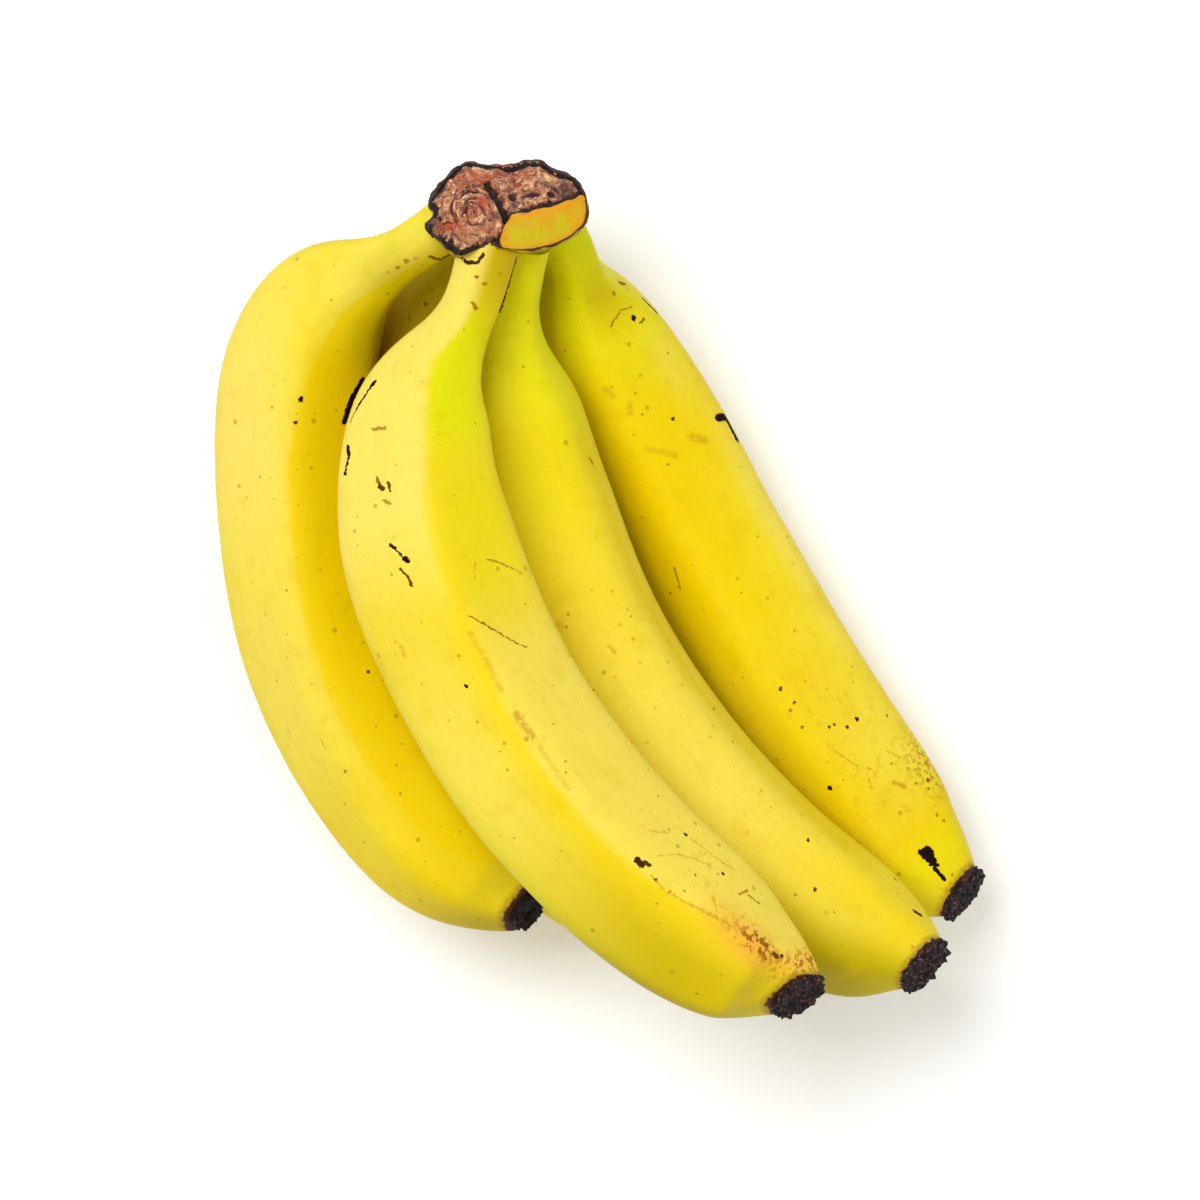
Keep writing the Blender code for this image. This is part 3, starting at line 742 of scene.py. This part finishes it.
    # dark holds the blemishes and the painted shadow strokes along the crevices of fingers 1 and 3.
    base = m.colour(m.math("MULTIPLY", m.step(dark, 0.0, .40), 0.8), base, hue(150, 104, 8))
    base = m.colour(m.step(dark, .48, .72), base, hue(104, 62, 12))
    base = m.colour(m.step(dark, .70, .94), base, hue(24, 12, 10))
    m.link(base, m.shader.inputs["Base Color"])
    rough = m.math("MULTIPLY_ADD", fine, 0.14, 0.42)
    m.link(m.math("MULTIPLY_ADD", dark, 0.3, rough), m.shader.inputs["Roughness"])
    m.shader.inputs["Specular IOR Level"].default_value = 0.05
    pores = m.noise(1.1, 2.0)
    m.bump(m.math("ADD", m.math("MULTIPLY", streak, 0.25), pores), 0.3, 0.10)
    return m.mat


def dried_flower():
    """Nearly black, crumbling flower remnant with paler flecks."""
    m = Mix("dried_flower", 0.75)
    grain = m.noise(0.7, 4.0)
    base = m.colour(m.step(grain, .42, .66), hue(17, 11, 12), hue(48, 30, 28))
    base = m.colour(m.math("MULTIPLY", m.step(m.noise(1.3, 3.0), .58, .68), .9), base, hue(116, 88, 90))
    base = m.colour(m.math("MULTIPLY", m.step(m.noise(0.5, 2.0), .58, .72), 0.6), base, hue(96, 48, 40))
    # Finger 1's flower end is made darker.
    base = m.colour(m.attribute("darkened"), base, hue(14, 11, 9))
    m.link(base, m.shader.inputs["Base Color"])
    m.shader.inputs["Specular IOR Level"].default_value = 0.2
    m.link(m.math("MULTIPLY_ADD", grain, 0.3, 0.5), m.shader.inputs["Roughness"])
    m.bump(m.noise(1.4, 4.0), 0.7, 0.4)
    return m.mat


def cut_crown():
    """Torn fibres running round the knob, folds painted near black as dark fibre and painted shade, a dark rim,
    and a fresh yellow shoulder.
    """
    m = Mix("cut_crown", 0.7)
    swirl = m.node("ShaderNodeCombineXYZ")
    m.link(m.math("MULTIPLY", m.attribute("ring"), 1.1), swirl.inputs[0])
    m.link(m.attribute("arc"), swirl.inputs[1])
    round_fibre = m.noise(1.0, 3.0, swirl.outputs[0], distortion=0.6)
    loose_fibre = m.noise(0.5, 4.0, distortion=1.6)
    knob = m.attribute("knob")
    fibre = m.math("ADD", m.math("MULTIPLY", round_fibre, knob),
                   m.math("MULTIPLY", loose_fibre, m.math("SUBTRACT", 1.0, knob)))
    tan = m.colour(m.step(fibre, .36, .60), hue(104, 52, 38), hue(182, 126, 84))
    tan = m.colour(m.math("MULTIPLY", m.step(fibre, .56, .66), 0.85), tan, hue(232, 186, 150))
    tan = m.colour(m.math("MULTIPLY", m.step(m.noise(0.3, 4.0), .50, .62), 0.7), tan, hue(150, 70, 38))
    tan = m.colour(m.math("MULTIPLY", m.step(m.noise(0.42, 3.0), .54, .64), 0.8), tan, hue(84, 46, 44))
    bright = m.step(m.noise(1.1, 3.0, distortion=2.0), .58, .66)
    tan = m.colour(m.math("MULTIPLY", bright, 0.7), tan, hue(236, 200, 172))
    tan = m.colour(m.math("MULTIPLY", m.attribute("red"), 0.8, clamp=True), tan, hue(176, 66, 30))
    tan = m.colour(m.math("MULTIPLY", m.attribute("plum"), 0.85, clamp=True), tan, hue(58, 34, 42))
    tan = m.colour(m.math("MULTIPLY", m.attribute("cream"), 0.9, clamp=True), tan, hue(230, 194, 130))
    dark = hue(24, 13, 11)
    # Folds: near black, partly dark fibre and partly painted shade in the crevices.
    ragged = m.math("MULTIPLY_ADD", m.math("SUBTRACT", m.noise(0.6, 4.0), 0.5), 1.6, m.attribute("fold"))
    tan = m.colour(m.math("MULTIPLY", m.step(ragged, .30, .60), 0.95), tan, dark)
    tan = m.colour(m.step(m.attribute("pit"), .35, .75), tan, hue(52, 18, 26))
    swirled = m.math("MULTIPLY_ADD", m.math("SUBTRACT", m.noise(0.7, 3.0), 0.5), 1.6, m.attribute("swirl"))
    tan = m.colour(m.math("MULTIPLY", m.step(swirled, -.55, -.95), 0.9), tan, hue(92, 32, 22))
    brim = m.math("MULTIPLY_ADD", m.math("SUBTRACT", m.noise(0.45, 4.0), 0.5), 2.2, m.attribute("rim"))
    tan = m.colour(m.step(brim, .45, .70), tan, dark)
    skin = m.colour(m.step(m.noise(0.25, 3.0), .42, .62), hue(186, 176, 18), hue(150, 118, 22))
    scorched = m.math("MULTIPLY_ADD", m.math("SUBTRACT", m.noise(0.45, 4.0), 0.5), 1.2, m.attribute("back"))
    skin = m.colour(m.step(scorched, .3, .6), skin, dark)
    yellow = m.colour(m.step(m.noise(0.14, 3.0), .4, .6), hue(186, 166, 0), hue(198, 152, 2))
    edge = m.math("MULTIPLY", m.attribute("margin"), m.step(m.noise(0.35, 3.0), .25, .5))
    yellow = m.colour(m.math("MULTIPLY", edge, 0.85), yellow, hue(212, 134, 12))
    yellow = m.colour(m.math("MULTIPLY", m.step(m.noise(0.5, 3.0), .62, .74), 0.5), yellow, hue(176, 104, 10))
    yellow = m.colour(m.step(m.attribute("lip"), .70, .90), yellow, hue(90, 48, 14))
    face = m.colour(m.step(m.attribute("fresh"), .30, .50), tan, hue(64, 34, 16))
    face = m.colour(m.step(m.attribute("fresh"), .55, .85), face, yellow)
    base = m.colour(m.step(m.attribute("up"), .0, .15), skin, hue(60, 36, 16))
    base = m.colour(m.step(m.attribute("up"), .35, .7), base, face)
    m.link(base, m.shader.inputs["Base Color"])
    m.shader.inputs["Specular IOR Level"].default_value = 0.25
    m.link(m.math("MULTIPLY_ADD", fibre, 0.3, 0.5), m.shader.inputs["Roughness"])
    m.bump(m.math("ADD", fibre, m.math("MULTIPLY", m.noise(1.6, 3.0), 0.5)), 0.6, 0.4)
    return m.mat


# ---------------------------------------------------------------- build
def dress(obj, node, mat):
    """Give a piece its finish and put it in place of its solid."""
    obj.data.materials.clear()
    obj.data.materials.append(mat)
    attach(obj, "root")
    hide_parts(node)


def build():
    """Five fingers with their flower ends, and the crown."""
    dry = dried_flower()
    for number in FINGERS:
        body = finger(number)
        dress(body, "banana_%d" % number, peel(number, body))
        dress(flower_end(number), "flower_end_%d" % number, dry)
    dress(crown(), "crown", cut_crown())


def studio():
    """Pale table, soft light from the upper left with a weaker one opposite, lens straight above."""
    bm = bmesh.new()
    bmesh.ops.create_grid(bm, x_segments=1, y_segments=1, size=3.0)
    mesh = bpy.data.meshes.new("table")
    bm.to_mesh(mesh)
    bm.free()
    table = bpy.data.objects.new("table", mesh)
    bpy.context.scene.collection.objects.link(table)
    pale = Mix("pale_table", 0.9)
    pale.shader.inputs["Base Color"].default_value = (0.96, 0.96, 0.96, 1)
    pale.shader.inputs["Specular IOR Level"].default_value = 0.1
    mesh.materials.append(pale.mat)
    lamps = (("window", (-0.34, 0.30, 1.12), 0.6, 8.6), ("fill", (0.5, -0.2, 1.1), 0.8, 2.0))
    for name, spot, size, power in lamps:
        light = bpy.data.lights.new(name, "AREA")
        light.shape, light.size, light.energy = "DISK", size, power
        lamp = bpy.data.objects.new(name, light)
        lamp.location = spot
        lamp.rotation_euler = (Vector((0, 0, 0.05)) - Vector(spot)).to_track_quat("-Z", "Y").to_euler()
        bpy.context.scene.collection.objects.link(lamp)
    world = bpy.data.worlds.new("studio")
    world.use_nodes = True
    world.node_tree.nodes["Background"].inputs["Color"].default_value = (1, 1, 1, 1)
    world.node_tree.nodes["Background"].inputs["Strength"].default_value = 0.70
    bpy.context.scene.world = world
    bpy.context.scene.view_settings.view_transform = "Standard"
    cam = bpy.data.cameras.new("lens")
    cam.sensor_width = 36
    cam.lens = 36 * EYE / VIEW
    eye = bpy.data.objects.new("lens", cam)
    eye.location = place((0, 0, EYE))
    bpy.context.scene.collection.objects.link(eye)
    bpy.context.scene.camera = eye


build()
studio()
